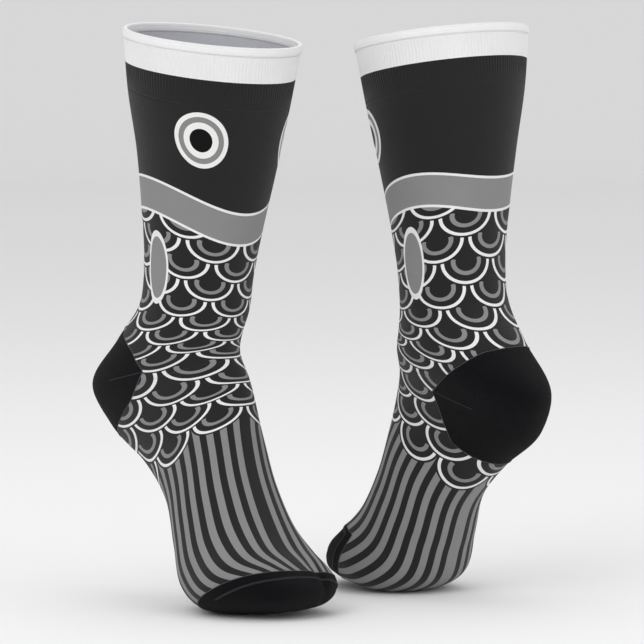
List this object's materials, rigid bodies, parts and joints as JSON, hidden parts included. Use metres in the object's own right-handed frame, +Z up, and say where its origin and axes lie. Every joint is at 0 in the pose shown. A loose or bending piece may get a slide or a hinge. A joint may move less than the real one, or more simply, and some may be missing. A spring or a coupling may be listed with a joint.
{
  "type": "pair of crew socks",
  "caption": "Pair of mid-calf crew socks holding the shape of feet on tiptoe, with ribbed cuffs, dark heels and toes, and a carp-streamer pattern of eye, gill, fins and scales.",
  "frame": {"origin": "bottom centre of the pair's box, on the floor", "axes": "+Z up along the legs; +X from the right sock to the left sock; +Y from front to back as the pair is shown"},
  "size_m": [0.3074, 0.2148, 0.3894],
  "materials": {
    "cuff_knit": "white rib knit",
    "elastic": "covered elastic thread",
    "printed_knit": "white jersey knit printed with dark scales",
    "heel_knit": "near-black terry-backed knit"
  },
  "bodies": {
    "right_sock": {"right_welt": "cuff_knit", "right_welt_elastic": "elastic", "right_rib_cuff": "cuff_knit", "right_leg": "printed_knit", "right_heel": "heel_knit", "right_heel_gores": "heel_knit", "right_foot": "printed_knit", "right_toe_cap": "heel_knit", "right_toe_seam": "heel_knit"},
    "left_sock": {"left_welt": "cuff_knit", "left_welt_elastic": "elastic", "left_rib_cuff": "cuff_knit", "left_leg": "printed_knit", "left_heel": "heel_knit", "left_heel_gores": "heel_knit", "left_foot": "printed_knit", "left_toe_cap": "heel_knit", "left_toe_seam": "heel_knit"}
  },
  "joints": [
    {"name": "left_sock_lift", "type": "slide", "parent": "right_sock", "child": "left_sock", "axis": [0, 0, 1], "range_m": [0, 0.42]}
  ]
}
